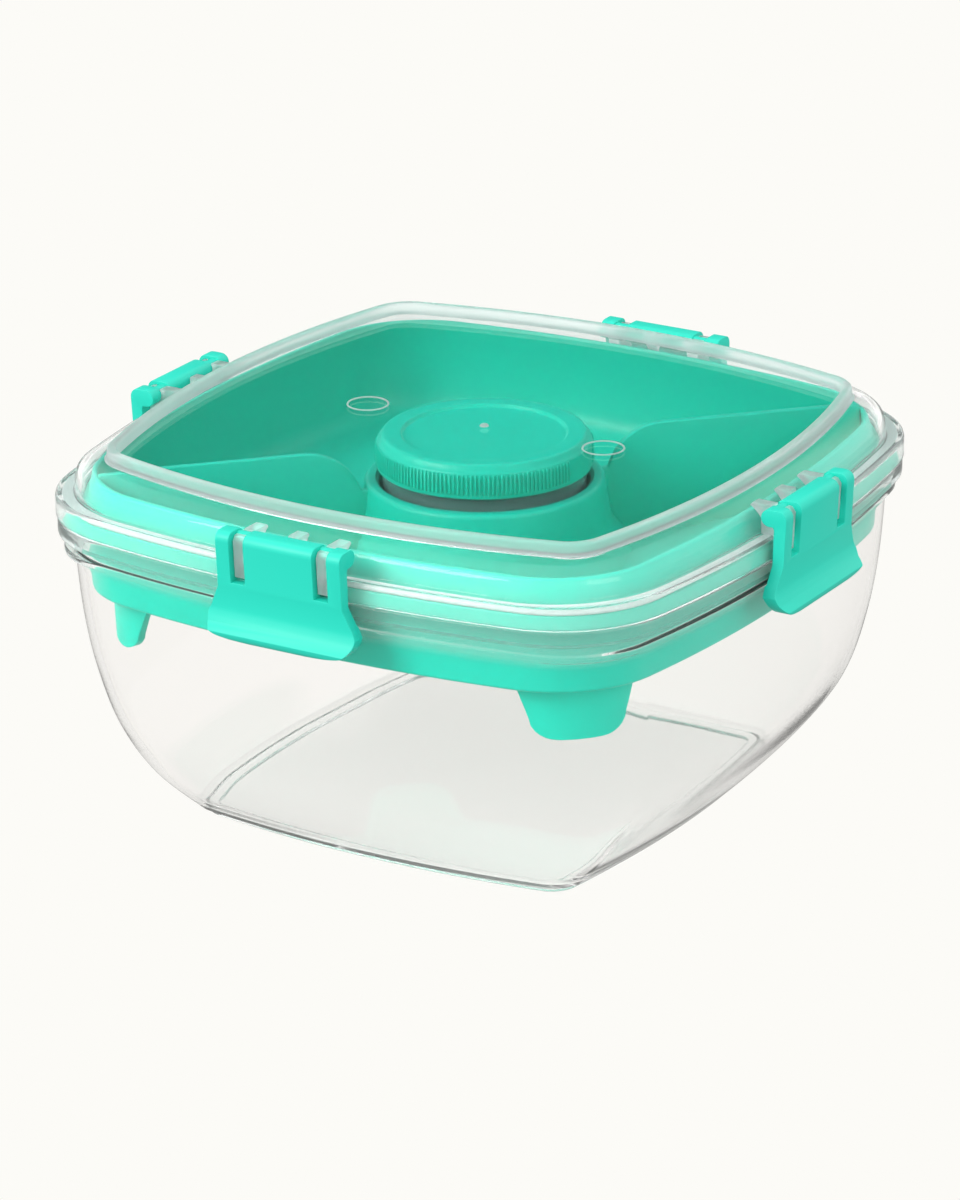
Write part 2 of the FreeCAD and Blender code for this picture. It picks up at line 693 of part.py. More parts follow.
CLIP_TURNS = {"clip_right": 0.0, "clip_back": 90.0, "clip_left": 180.0, "clip_front": 270.0}

bodies = [make_bowl(), make_tray(), make_lid(), make_lid_seal()]
bodies += [make_clip(name, turn) for name, turn in CLIP_TURNS.items()]
bodies += [make_dressing_pot(), make_pot_lid(), make_pot_lid_seal()]
doc.recompute()

faults = []
for feature in doc.Objects:
    if "Invalid" in feature.State or "Error" in feature.State:
        faults.append("%s: %s" % (feature.Name, feature.State))
for body in bodies:
    if body.Shape.isNull() or not body.Shape.isValid() or len(body.Shape.Solids) != 1:
        faults.append("%s: not one valid solid" % body.Label)
if faults:
    raise RuntimeError("; ".join(faults))

os.makedirs("parts", exist_ok=True)
for body in bodies:
    body.Shape.exportStep("parts/%s.step" % body.Label)
    box = body.Shape.BoundBox
    print("%s: %.1f cm3, z %.1f to %.1f" % (body.Label, body.Shape.Volume / 1000, box.ZMin, box.ZMax))
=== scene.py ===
"""Snap lid food container: its looks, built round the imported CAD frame.

Lengths in the code are millimetres; MM turns them into the frame's metres.
Every outline seen from above is a bowed square, as in the CAD: "half" is the reach to the
middle of a side, "corner" the radius of a corner arc, "bow" the radius of a side arc.
"""
import bmesh
import bpy
import math
from mathutils import Matrix, Vector


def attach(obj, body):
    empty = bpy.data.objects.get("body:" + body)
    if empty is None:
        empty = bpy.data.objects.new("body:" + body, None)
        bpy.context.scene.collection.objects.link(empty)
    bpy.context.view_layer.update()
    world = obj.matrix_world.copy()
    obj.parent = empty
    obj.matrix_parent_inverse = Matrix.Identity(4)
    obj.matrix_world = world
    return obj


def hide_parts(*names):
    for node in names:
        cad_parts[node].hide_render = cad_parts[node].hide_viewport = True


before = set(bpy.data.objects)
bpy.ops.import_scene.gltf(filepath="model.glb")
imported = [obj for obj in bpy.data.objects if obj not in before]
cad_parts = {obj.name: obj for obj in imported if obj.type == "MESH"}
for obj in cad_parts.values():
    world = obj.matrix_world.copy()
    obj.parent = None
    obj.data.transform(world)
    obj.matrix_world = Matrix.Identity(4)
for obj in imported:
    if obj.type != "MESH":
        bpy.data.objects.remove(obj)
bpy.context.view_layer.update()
MM = 0.001

# (z, half, corner, bow) of the outlines that the pieces share with the CAD
FOOT = (0.0, 52.0, 6.5, 272.0)
WALL = [
    (2.0, 54.3, 8.0, 272.0),
    (12.0, 64.0, 14.5, 282.0),
    (24.0, 71.6, 23.5, 295.0),
    (38.0, 75.7, 26.0, 305.0),
    (52.0, 77.5, 25.0, 315.0),
    (67.5, 78.2, 23.0, 321.0),
]
LEDGE = (66.4, 79.7, 20.5, 321.0)
LEDGE_TOP = 67.9
RIM = (70.7, 82.15, 28.2, 321.0)
RIM_TOP = 74.4
TRAY_OUTSIDE = [(57.75, 75.5, 24.8, 320.0), (75.0, 76.0, 24.8, 321.0), (83.5, 74.6, 25.2, 320.0)]
TRAY_FLANGE = (74.5, 80.5, 27.0, 323.0)
FLANGE_TOP = 77.7
FLANGE_WALL = 1.1
TRAY_INSIDE = [
    (59.5, 65.0, 17.0, 300.0),
    (60.6, 69.6, 20.0, 310.0),
    (64.0, 72.8, 22.3, 318.0),
    (74.0, 74.2, 23.2, 320.0),
    (83.5, 73.4, 24.0, 320.0),
]
SKIRT = (74.6, 82.5, 29.0, 325.0)
DOME = [
    (79.4, 78.8, 29.0, 325.0),
    (83.4, 78.6, 28.8, 322.0),
    (85.4, 77.2, 26.0, 300.0),
    (86.8, 74.4, 19.0, 250.0),
    (87.7, 71.9, 10.5, 215.0),
]

# points along each side arc and each corner arc of an outline
SIDE_STEPS = 22
CORNER_STEPS = 14


# ---------------------------------------------------------------- meshes

def mesh_object(name, points, faces, material, smooth=40.0):
    mesh = bpy.data.meshes.new(name)
    mesh.from_pydata([tuple(c * MM for c in p) for p in points], [], faces)
    mesh.validate()
    mesh.update()
    obj = bpy.data.objects.new(name, mesh)
    bpy.context.scene.collection.objects.link(obj)
    obj.data.materials.append(material)
    for face in mesh.polygons:
        face.use_smooth = True
    mesh.set_sharp_from_angle(angle=math.radians(smooth))
    return obj


def corner_centre(half, corner, bow):
    """How far along X and Y the centre of a corner arc lies, where it meets the side arcs."""
    reach = bow - half
    span = bow - corner
    return (-reach + math.sqrt(2 * span * span - reach * reach)) / 2


def bowed_loop(half, corner, bow, z):
    """One bowed square, anticlockwise, as a closed ring of points."""
    reach = bow - half
    centre = corner_centre(half, corner, bow)
    turn = math.atan2(centre, centre + reach)
    points = []
    for side in range(4):
        angle = side * math.pi / 2
        for i in range(SIDE_STEPS):
            a = angle - turn + 2 * turn * i / SIDE_STEPS
            points.append((-reach * math.cos(angle) + bow * math.cos(a),
                           -reach * math.sin(angle) + bow * math.sin(a), z))
        diagonal = angle + math.pi / 4
        far = centre * math.sqrt(2)
        start = angle + turn
        sweep = math.pi / 2 - 2 * turn
        for i in range(CORNER_STEPS):
            a = start + sweep * i / CORNER_STEPS
            points.append((far * math.cos(diagonal) + corner * math.cos(a),
                           far * math.sin(diagonal) + corner * math.sin(a), z))
    return points


def inset(outline, amount, z=None):
    """The outline drawn in by an even amount, at another height if one is given."""
    height, half, corner, bow = outline
    return (height if z is None else z, half - amount, corner - amount, bow - amount)


def spline(outlines, steps):
    """Outlines along a smooth curve through the given ones."""
    result = []
    last = len(outlines) - 1
    for i in range(last):
        before = outlines[max(i - 1, 0)]
        here = outlines[i]
        there = outlines[i + 1]
        after = outlines[min(i + 2, last)]
        for k in range(steps):
            t = k / steps
            values = []
            for p0, p1, p2, p3 in zip(before, here, there, after):
                values.append(0.5 * (2 * p1 + (p2 - p0) * t
                                     + (2 * p0 - 5 * p1 + 4 * p2 - p3) * t * t
                                     + (3 * p1 - p0 - 3 * p2 + p3) * t ** 3))
            result.append(tuple(values))
    result.append(outlines[-1])
    return result


def rounded(outlines, radii, steps=3):
    """Replaces a corner of the profile by a small curve where its radius isn't 0."""
    result = []
    count = len(outlines)
    for i, outline in enumerate(outlines):
        radius = radii[i]
        if radius == 0 or i in (0, count - 1):
            result.append(outline)
            continue
        here = Vector(outline)
        ends = []
        for other in (outlines[i - 1], outlines[i + 1]):
            way = Vector(other) - here
            length = math.hypot(way[0], way[1])
            ends.append(here + way * min(radius / length, 0.48))
        for k in range(steps + 1):
            t = k / steps
            point = ends[0] * (1 - t) ** 2 + here * 2 * t * (1 - t) + ends[1] * t * t
            result.append(tuple(point))
    return result


def swept(name, outlines, material, closed=False, cap_start=False, cap_end=False):
    """A skin through outlines from one end of a profile to the other, or round a closed one."""
    points = []
    faces = []
    for z, half, corner, bow in outlines:
        points += bowed_loop(half, corner, bow, z)
    ring = 4 * (SIDE_STEPS + CORNER_STEPS)
    rows = len(outlines)
    for row in range(rows if closed else rows - 1):
        low = row * ring
        high = (row + 1) % rows * ring
        for i in range(ring):
            j = (i + 1) % ring
            faces.append((low + i, low + j, high + j, high + i))
    if cap_start:
        faces.append(tuple(range(ring - 1, -1, -1)))
    if cap_end:
        faces.append(tuple((rows - 1) * ring + i for i in range(ring)))
    return mesh_object(name, points, faces, material)


def turned(name, profile, material, steps=96, smooth=35.0):
    """A solid of revolution about Z; profile is (radius, z) from axis to axis or a closed loop."""
    points = []
    rows = []
    for radius, z in profile:
        if radius == 0:
            rows.append([len(points)] * steps)
            points.append((0, 0, z))
            continue
        rows.append(list(range(len(points), len(points) + steps)))
        for i in range(steps):
            a = 2 * math.pi * i / steps
            points.append((radius * math.cos(a), radius * math.sin(a), z))
    faces = []
    open_ended = profile[0][0] == 0 and profile[-1][0] == 0
    for r in range(len(rows) - 1 if open_ended else len(rows)):
        low = rows[r]
        high = rows[(r + 1) % len(rows)]
        for i in range(steps):
            j = (i + 1) % steps
            face = []
            for corner in (low[i], low[j], high[j], high[i]):
                if corner not in face:
                    face.append(corner)
            if len(face) > 2:
                faces.append(tuple(face))
    return mesh_object(name, points, faces, material, smooth)


def round_profile(profile, radii, steps=4):
    """Rounds the corners of a (radius, z) profile."""
    result = []
    count = len(profile)
    for i, point in enumerate(profile):
        radius = radii[i]
        if radius == 0:
            result.append(point)
            continue
        here = Vector(point)
        ends = []
        for other in (profile[i - 1], profile[(i + 1) % count]):
            way = Vector(other) - here
            ends.append(here + way * min(radius / way.length, 0.48))
        for k in range(steps + 1):
            t = k / steps
            mixed = ends[0] * (1 - t) ** 2 + here * 2 * t * (1 - t) + ends[1] * t * t
            result.append(tuple(mixed))
    return result


def extruded(name, outline, width, material, axis="Y", smooth=30.0):
    """A flat outline given a thickness: (x, z) points about Y, or (y, z) points about X."""
    count = len(outline)
    points = []
    for side in (-0.5, 0.5):
        for a, b in outline:
            points.append((a, side * width, b) if axis == "Y" else (side * width, a, b))
    faces = [tuple(range(count)), tuple(range(2 * count - 1, count - 1, -1))]
    for i in range(count):
        j = (i + 1) % count
        faces.append((j, i, count + i, count + j))
    solid = mesh_object(name, points, faces, material, smooth)
    turned_out = bmesh.new()
    turned_out.from_mesh(solid.data)
    bmesh.ops.recalc_face_normals(turned_out, faces=turned_out.faces)
    turned_out.to_mesh(solid.data)
    turned_out.free()
    return solid


def combine(obj, others, operation):
    """Joins solids to obj or cuts them from it, and removes them."""
    for other in others:
        step = obj.modifiers.new("combine", "BOOLEAN")
        step.operation = operation
        step.object = other
        step.solver = "EXACT"
    settle(obj)
    for other in others:
        bpy.data.objects.remove(other, do_unlink=True)


def settle(obj, smooth=35.0):
    """Applies obj's modifiers to its mesh."""
    bpy.context.view_layer.update()
    graph = bpy.context.evaluated_depsgraph_get()
    mesh = bpy.data.meshes.new_from_object(obj.evaluated_get(graph))
    obj.modifiers.clear()
    obj.data = mesh
    for face in mesh.polygons:
        face.use_smooth = True
    mesh.set_sharp_from_angle(angle=math.radians(smooth))


def soften(obj, width, angle=32.0, segments=3):
    """Rounds an object's sharp edges."""
    bevel = obj.modifiers.new("round", "BEVEL")
    bevel.width = width * MM
    bevel.segments = segments
    bevel.limit_method = "ANGLE"
    bevel.angle_limit = math.radians(angle)
    bevel.use_clamp_overlap = True
    bevel.harden_normals = False
    settle(obj)


def spin_copy(obj, name, angle):
    """A copy of obj turned about Z."""
    mesh = obj.data.copy()
    mesh.transform(Matrix.Rotation(math.radians(angle), 4, "Z"))
    copy = bpy.data.objects.new(name, mesh)
    bpy.context.scene.collection.objects.link(copy)
    return copy


def merged(name, objects):
    """Several solids gathered into one object."""
    joint = bmesh.new()
    for obj in objects:
        joint.from_mesh(obj.data)
    mesh = bpy.data.meshes.new(name)
    joint.to_mesh(mesh)
    joint.free()
    mesh.materials.append(objects[0].data.materials[0])
    for obj in objects:
        bpy.data.objects.remove(obj, do_unlink=True)
    result = bpy.data.objects.new(name, mesh)
    bpy.context.scene.collection.objects.link(result)
    return result


def arc(centre, radius, start, end, steps):
    points = []
    for i in range(steps + 1):
        a = math.radians(start + (end - start) * i / steps)
        points.append((centre[0] + radius * math.cos(a), centre[1] + radius * math.sin(a)))
    return points


# ---------------------------------------------------------------- materials

def principled(name, colour, roughness, **sockets):
    material = bpy.data.materials.new(name)
    material.use_nodes = True
    shader = material.node_tree.nodes["Principled BSDF"]
    shader.inputs["Base Color"].default_value = (*colour, 1.0)
    shader.inputs["Roughness"].default_value = roughness
    for socket, value in sockets.items():
        shader.inputs[socket.replace("_", " ")].default_value = value
    return material


def add_mottle(material, scale, low, high, strength=0.0):
    """Uneven gloss and a faint ripple, as moulded plastic has."""
    nodes = material.node_tree.nodes
    links = material.node_tree.links
    shader = nodes["Principled BSDF"]
    place = nodes.new("ShaderNodeTexCoord")
    noise = nodes.new("ShaderNodeTexNoise")
    noise.inputs["Scale"].default_value = scale
    noise.inputs["Detail"].default_value = 3.0
    spread = nodes.new("ShaderNodeMapRange")
    spread.inputs["To Min"].default_value = low
    spread.inputs["To Max"].default_value = high
    links.new(place.outputs["Object"], noise.inputs["Vector"])
    links.new(noise.outputs["Fac"], spread.inputs["Value"])
    links.new(spread.outputs["Result"], shader.inputs["Roughness"])
    if strength:
        bump = nodes.new("ShaderNodeBump")
        bump.inputs["Strength"].default_value = strength
        bump.inputs["Distance"].default_value = 0.1 * MM
        links.new(noise.outputs["Fac"], bump.inputs["Height"])
        links.new(bump.outputs["Normal"], shader.inputs["Normal"])


def let_lamps_through(material, tint):
    """Clear plastic that doesn't throw a solid shadow."""
    nodes = material.node_tree.nodes
    links = material.node_tree.links
    shader = nodes["Principled BSDF"]
    path = nodes.new("ShaderNodeLightPath")
    clear = nodes.new("ShaderNodeBsdfTransparent")
    clear.inputs["Color"].default_value = (*tint, 1.0)
    mix = nodes.new("ShaderNodeMixShader")
    links.new(path.outputs["Is Shadow Ray"], mix.inputs["Fac"])
    links.new(shader.outputs["BSDF"], mix.inputs[1])
    links.new(clear.outputs["BSDF"], mix.inputs[2])
    links.new(mix.outputs["Shader"], nodes["Material Output"].inputs["Surface"])


def haze_and_painted_shade(material, low, high, stops):
    """Clear plastic, milkier and more tinted at some heights: (height, clearness, tint). The tints
    are painted: shade and the green of the tray behind.
    """
    nodes = material.node_tree.nodes
    links = material.node_tree.links
    place = nodes.new("ShaderNodeTexCoord")
    parts = nodes.new("ShaderNodeSeparateXYZ")
    height = nodes.new("ShaderNodeMapRange")
    height.inputs["From Min"].default_value = low * MM
    height.inputs["From Max"].default_value = high * MM
    links.new(place.outputs["Object"], parts.inputs["Vector"])
    links.new(parts.outputs["Z"], height.inputs["Value"])
    shader = nodes["Principled BSDF"]
    for socket, pick in (
        ("Transmission Weight", lambda stop: (stop[1],) * 3),
        ("Base Color", lambda stop: stop[2]),
    ):
        ramp = nodes.new("ShaderNodeValToRGB")
        ends = ramp.color_ramp.elements
        ends[0].position = 0.0
        ends[0].color = (*pick(stops[0]), 1.0)
        ends[1].position = 1.0
        ends[1].color = (*pick(stops[-1]), 1.0)
        for stop in stops[1:-1]:
            ends.new((stop[0] - low) / (high - low)).color = (*pick(stop), 1.0)
        links.new(height.outputs["Result"], ramp.inputs["Fac"])
        links.new(ramp.outputs["Color"], shader.inputs[socket])


def mint_plastic(name, colour, roughness, gloss=0.3):
    material = principled(name, colour, roughness, Specular_IOR_Level=gloss, IOR=1.49)
    add_mottle(material, 60.0, roughness - 0.03, roughness + 0.05, 0.04)
    return material


def clear_plastic(name, colour, roughness, gloss):
    material = principled(name, colour, roughness, Transmission_Weight=1.0, IOR=1.28,
                          Specular_IOR_Level=gloss)
    add_mottle(material, 25.0, roughness * 0.6, roughness * 1.6)
    let_lamps_through(material, (0.93, 0.94, 0.94))
    return material


TRAY_GREEN = (0.002, 0.54, 0.395)
CLIP_GREEN = (0.006, 0.59, 0.45)
tray_plastic = mint_plastic("tray_plastic", TRAY_GREEN, 0.36)
clip_plastic = mint_plastic("clip_plastic", CLIP_GREEN, 0.48, 0.5)
cap_plastic = mint_plastic("cap_plastic", TRAY_GREEN, 0.32)
bowl_plastic = clear_plastic("bowl_plastic", (0.975, 0.97, 0.968), 0.03, 0.15)
WALL_TINT = (0.983, 0.977, 0.975)
# Milkier at the floor; from 67 mm up the rim is darkened to grey-green, painted shade with the
# tray's green seen through it.
haze_and_painted_shade(bowl_plastic, 0.0, 75.0, [
    (0.0, 0.88, WALL_TINT), (5.0, 1.0, WALL_TINT), (64.0, 1.0, WALL_TINT),
    (67.0, 0.94, (0.84, 0.88, 0.87)), (75.0, 0.92, (0.74, 0.81, 0.80)),
])
LID_TINT = (0.985, 0.99, 0.99)
lid_plastic = clear_plastic("lid_plastic", LID_TINT, 0.03, 0.15)
# The skirt is milkier and painted a faint mint, the tray flange's green seen through it, fading out
# towards the window.
haze_and_painted_shade(lid_plastic, 74.0, 91.0, [
    (74.0, 0.92, (0.90, 0.95, 0.94)), (79.5, 0.94, (0.92, 0.96, 0.955)),
    (84.0, 0.975, LID_TINT), (87.0, 1.0, LID_TINT), (91.0, 1.0, LID_TINT),
])
# The pot's darker teal tint is painted shade: the shaded well seen through its neck.
pot_plastic_painted_shade = principled("pot_plastic_painted_shade", (0.45, 0.78, 0.74), 0.16,
                         Transmission_Weight=0.9, IOR=1.3)
let_lamps_through(pot_plastic_painted_shade, (0.85, 0.9, 0.89))
frosted_plastic = principled("frosted_plastic", (0.80, 0.88, 0.87), 0.3,
                             Transmission_Weight=0.85, IOR=1.25)
add_mottle(frosted_plastic, 90.0, 0.26, 0.36, 0.04)
let_lamps_through(frosted_plastic, (0.8, 0.85, 0.84))
silicone = principled("silicone", (0.72, 0.80, 0.78), 0.45,
                      Transmission_Weight=0.35, IOR=1.41)
add_mottle(silicone, 80.0, 0.4, 0.55, 0.03)


# ---------------------------------------------------------------- bowl

BOWL_WALL = 1.6
BOWL_FLOOR = 3.8
# how far the inner skin is drawn in, in walls: the wall leans most near the floor
LEAN = (0.4, 1.4, 1.15, 1.0, 1.0, 1.0)


def make_bowl():
    top = WALL[-1]
    outlines = [inset(FOOT, 2.6, 1.0), inset(FOOT, 2.6, 0.0), FOOT, inset(FOOT, 0, 1.9)]
    radii = [0, 0.3, 0.7, 0.8]
    wall = [o for o in spline(WALL, 7) if o[0] < LEDGE[0] - 0.5]
    wall.append(inset(top, 0.0, LEDGE[0]))
    outlines += wall
    radii += [0] * (len(wall) - 1) + [0.3]
    steps = [
        (LEDGE, 0.4), (inset(LEDGE, 0, LEDGE_TOP), 0.4),
        (inset(top, 0.0, LEDGE_TOP), 0.3), (inset(top, 0.0, RIM[0]), 0.4), (RIM, 0.4),
        (inset(RIM, 0, RIM_TOP), 0.6), (inset(top, BOWL_WALL, RIM_TOP), 0.5),
    ]
    for outline, radius in steps:
        outlines.append(outline)
        radii.append(radius)
    inner = []
    for outline, lean in zip(WALL, LEAN):
        inner.append(inset(outline, BOWL_WALL * lean))
    inner[0] = inset(WALL[0], BOWL_WALL * LEAN[0], BOWL_FLOOR)
    inside = list(reversed(spline(inner, 7)))
    outlines += inside
    radii += [0] * len(inside)
    bowl = swept("bowl_shell", rounded(outlines, radii), bowl_plastic, cap_start=True, cap_end=True)
    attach(bowl, "bowl_body")
    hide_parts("bowl")


# ---------------------------------------------------------------- tray

COLLAR_TOP = 75.0
COLLAR_RADIUS = 27.4
COLLAR_FLARE = 31.5
WELL_RADIUS = 24.2
WELL_WALL = 1.3
WELL_FLOOR = 45.8
DIVIDER_TOP = 84.0
DIVIDER_THICK = 1.9
DIVIDER_START = 42.0
DIVIDER_REACH = 89.0
DIVIDER_ROUND = 13.5
LEG_BOTTOM = 45.0
LEG_TOP_HALF = 13.6
LEG_LOW_HALF = 10.8
LEG_FOOT_HALF = 5.0
LEG_CORNER_RISE = 4.4
LEG_REACH = 86.0
LEG_THICK = 2.2


def make_tray():
    base, side, lip = TRAY_OUTSIDE
    hollow_top = FLANGE_TOP - FLANGE_WALL
    outlines = [
        inset(base, 6.0), base, inset(side, 0, hollow_top),
        inset(TRAY_FLANGE, FLANGE_WALL, hollow_top), inset(TRAY_FLANGE, FLANGE_WALL),
        TRAY_FLANGE, inset(TRAY_FLANGE, 0, FLANGE_TOP), inset(side, 0, FLANGE_TOP), lip,
    ]
    radii = [0, 1.0, 0.4, 0.4, 0.3, 0.35, 0.5, 0.8, 0.7]
    inside = list(reversed(spline(TRAY_INSIDE, 5)))
    outlines += inside
    radii += [0.5] + [0] * (len(inside) - 1)
    tray = swept("tray_moulding", rounded(outlines, radii), tray_plastic,
                 cap_start=True, cap_end=True)
    floor = TRAY_INSIDE[0][0]
    outer = WELL_RADIUS + WELL_WALL
    low = WELL_FLOOR - WELL_WALL
    collar = turned("collar", round_profile([
        (0, low), (outer, low), (outer, floor - 1.5), (COLLAR_FLARE + 1.5, floor - 1.5),
        (COLLAR_FLARE + 1.5, floor + 0.01), (COLLAR_FLARE - 2.4, floor + 4.0),
        (COLLAR_RADIUS, COLLAR_TOP), (WELL_RADIUS - 4, COLLAR_TOP), (0, COLLAR_TOP),
    ], [0, 1.5, 0, 0, 0, 3.0, 1.2, 0, 0]), tray_plastic)
    chamfer = 0.9
    bore = turned("bore", [
        (0, WELL_FLOOR), (WELL_RADIUS, WELL_FLOOR), (WELL_RADIUS, COLLAR_TOP - chamfer),
        (WELL_RADIUS + chamfer, COLLAR_TOP + 0.1), (WELL_RADIUS + chamfer, COLLAR_TOP + 2),
        (0, COLLAR_TOP + 2),
    ], tray_plastic)
    added = [collar]
    end_drop = COLLAR_TOP - 0.8 - (DIVIDER_TOP - DIVIDER_ROUND)
    end_angle = 180 - math.degrees(math.asin(end_drop / DIVIDER_ROUND))
    divider = [(DIVIDER_REACH, floor - 0.8), (DIVIDER_REACH, DIVIDER_TOP)]
    divider += arc((DIVIDER_START, DIVIDER_TOP - DIVIDER_ROUND), DIVIDER_ROUND,
                   90, end_angle, 12)
    divider += [(COLLAR_RADIUS - 1.2, COLLAR_TOP - 0.8), (COLLAR_RADIUS - 1.2, floor - 0.8)]
    for name, turn in (("far", 45.0), ("near", 225.0)):
        wall = extruded("divider", divider, DIVIDER_THICK, tray_plastic)
        soften(wall, 0.5, 60.0, 2)
        added.append(spin_copy(wall, "divider_" + name, turn))
        bpy.data.objects.remove(wall, do_unlink=True)
    for corner in range(4):
        added.append(make_leg(45.0 + 90.0 * corner))
    combine(tray, added, "UNION")
    combine(tray, [bore], "DIFFERENCE")
    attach(tray, "tray_body")
    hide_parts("tray")


def make_leg(turn):
    """A curved tab under a corner, narrower at its rounded foot."""
    z, half, corner, bow = TRAY_OUTSIDE[0]
    centre = corner_centre(half, corner, bow) * math.sqrt(2)
    outer = LEG_REACH - centre
    columns = 15
    rises = [0.0, 0.12, 0.45, 1.0, 1.8, 3.0, LEG_CORNER_RISE, 8.0, z + 0.7 - LEG_BOTTOM]
    heights = [LEG_BOTTOM + rise for rise in rises]
    points = []
    for rise, height in zip(rises, heights):
        if rise <= LEG_CORNER_RISE:
            drop = 1 - rise / LEG_CORNER_RISE
            half_width = LEG_FOOT_HALF + (LEG_LOW_HALF - LEG_FOOT_HALF) * math.sqrt(1 - drop * drop)
        else:
            share = (rise - LEG_CORNER_RISE) / (z - LEG_BOTTOM - LEG_CORNER_RISE)
            half_width = LEG_LOW_HALF + (LEG_TOP_HALF - LEG_LOW_HALF) * share
        spread = math.asin(half_width / outer)
        for radius in (outer - LEG_THICK, outer):
            for i in range(columns + 1):
                a = -spread + 2 * spread * i / columns
                points.append((centre + radius * math.cos(a), radius * math.sin(a), height))
    stride = columns + 1
    faces = []
    for row in range(len(heights) - 1):
        low = row * 2 * stride
        high = low + 2 * stride
        for i in range(columns):
            faces.append((low + i + 1, low + i, high + i, high + i + 1))
            faces.append((low + stride + i, low + stride + i + 1,
                          high + stride + i + 1, high + stride + i))
        faces.append((low, low + stride, high + stride, high))
        faces.append((low + stride + columns, low + columns,
                      high + columns, high + stride + columns))
    last = (len(heights) - 1) * 2 * stride
    for i in range(columns):
        faces.append((i, i + 1, stride + i + 1, stride + i))
        faces.append((last + i + 1, last + i, last + stride + i, last + stride + i + 1))
    leg = mesh_object("leg", points, faces, tray_plastic)
    soften(leg, 0.4, 50.0, 2)
    placed = spin_copy(leg, "leg_placed", turn)
    bpy.data.objects.remove(leg, do_unlink=True)
    return placed


# ---------------------------------------------------------------- lid

LID_WALL = 1.5
SKIRT_WALL = 1.6
SKIRT_TOP = 79.9
LIP_BOTTOM = 77.95
SEAL_BOTTOM = 77.8
SEAL_TOP = 79.0
RIDGE_TOP = 90.3
RIDGE_WIDTH = 2.3
WINDOW_TOP = 87.7
# the flat middle of the window starts this far in from the ridge
WINDOW_INSET = 8.0
PIN_REACH = 82.3
PIN_RISE = 85.1
PIN_RADIUS = 1.6
PIN_BORE = 1.68
HOOK_WIDTH = 3.0
HOOK_LOW = 76.6
FIN_TOP = 86.6
THROAT = 1.3
SLOT_PLACE = 10.7
SLOT_WIDTH = 3.7
MARK_PLACE = 31.3
SIDES = {"right": 0.0, "back": 90.0, "left": 180.0, "front": 270.0}


def make_lid():
    shoulder, shoulder_top, dome_edge, dome_slope, ridge_foot = DOME
    inside = [
        inset(ridge_foot, LID_WALL * 0.25, WINDOW_TOP - LID_WALL),
        inset(dome_slope, LID_WALL * 0.5, dome_slope[0] - 1.35),
        inset(dome_edge, LID_WALL * 0.85, dome_edge[0] - 1.1),
        inset(shoulder_top, LID_WALL, shoulder_top[0] - 0.8),
        inset(shoulder, LID_WALL, LIP_BOTTOM),
    ]
    inside = spline(inside, 5)
    outlines = [inset(ridge_foot, WINDOW_INSET, WINDOW_TOP - LID_WALL)] + inside
    radii = [0, 1.0] + [0] * (len(inside) - 2) + [0.3]
    steps = [
        (inset(shoulder, -0.15, LIP_BOTTOM), 0.2), (inset(shoulder, -0.15, SEAL_TOP + 0.05), 0),
        (inset(SKIRT, SKIRT_WALL, SEAL_TOP + 0.05), 0), (inset(SKIRT, SKIRT_WALL), 0.4),
        (SKIRT, 0.5), (inset(SKIRT, 0, SKIRT_TOP), 1.1), (inset(shoulder, 0, SKIRT_TOP), 0.7),
    ]
    for outline, radius in steps:
        outlines.append(outline)
        radii.append(radius)
    dome = [o for o in spline(DOME, 6) if o[0] > SKIRT_TOP + 0.9]
    outlines += dome
    radii += [0] * (len(dome) - 1) + [0.7]
    outlines.append(inset(ridge_foot, WINDOW_INSET, WINDOW_TOP))
    radii.append(0)
    lid = swept("lid_shell", rounded(outlines, radii), lid_plastic,
                cap_start=True, cap_end=True)
    low = WINDOW_TOP - 0.5
    ridge = swept("lid_ridge", rounded([
        inset(ridge_foot, 1.0, low), inset(ridge_foot, -0.55, low),
        inset(ridge_foot, -0.05, WINDOW_TOP + 0.35),
        inset(ridge_foot, 0.1, RIDGE_TOP), inset(ridge_foot, RIDGE_WIDTH, RIDGE_TOP),
        inset(ridge_foot, RIDGE_WIDTH + 0.1, low), inset(ridge_foot, 1.0, low),
    ], [0, 0.2, 0.3, 0.8, 0.8, 0.2, 0]), frosted_plastic)
    hooks = []
    for angle in SIDES.values():
        for along in (-SLOT_PLACE, 0.0, SLOT_PLACE):
            outline = hook_outline() if along else fin_outline()
            hook = extruded("hook", outline, HOOK_WIDTH, frosted_plastic)
            soften(hook, 0.3, 50.0, 2)
            hook.data.transform(Matrix.Translation((0, along * MM, 0)))
            hooks.append(spin_copy(hook, "hook_placed", angle))
            bpy.data.objects.remove(hook, do_unlink=True)
    hook_set = merged("lid_hooks", hooks)
    for piece in (lid, ridge, hook_set):
        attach(piece, "lid_body")
    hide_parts("lid")


def hook_outline():
    """A hook in (distance from the centre, height), round the underside of a clip's pin."""
    rise = math.sqrt(PIN_BORE ** 2 - THROAT ** 2)
    start = math.degrees(math.atan2(rise, -THROAT))
    end = math.degrees(math.atan2(rise, THROAT)) + 360
    points = [(76.0, FIN_TOP), (75.4, 85.8), (78.1, 83.4), (78.1, 79.4), (81.8, 79.4)]
    points += [(81.8, HOOK_LOW), (84.9, HOOK_LOW), (85.4, PIN_RISE)]
    points += [(84.6, FIN_TOP - 0.3), (PIN_REACH + THROAT, FIN_TOP - 0.1)]
    points += reversed(arc((PIN_REACH, PIN_RISE), PIN_BORE, start, end, 20))
    points += [(PIN_REACH - THROAT, FIN_TOP)]
    return points


def fin_outline():
    """The middle fin of a side, as hook_outline, but ending short of the pin."""
    return [(76.0, FIN_TOP), (75.4, 85.8), (78.3, 81.9), (PIN_REACH - 2.5, PIN_RISE - 0.6),
            (PIN_REACH - 2.5, FIN_TOP)]


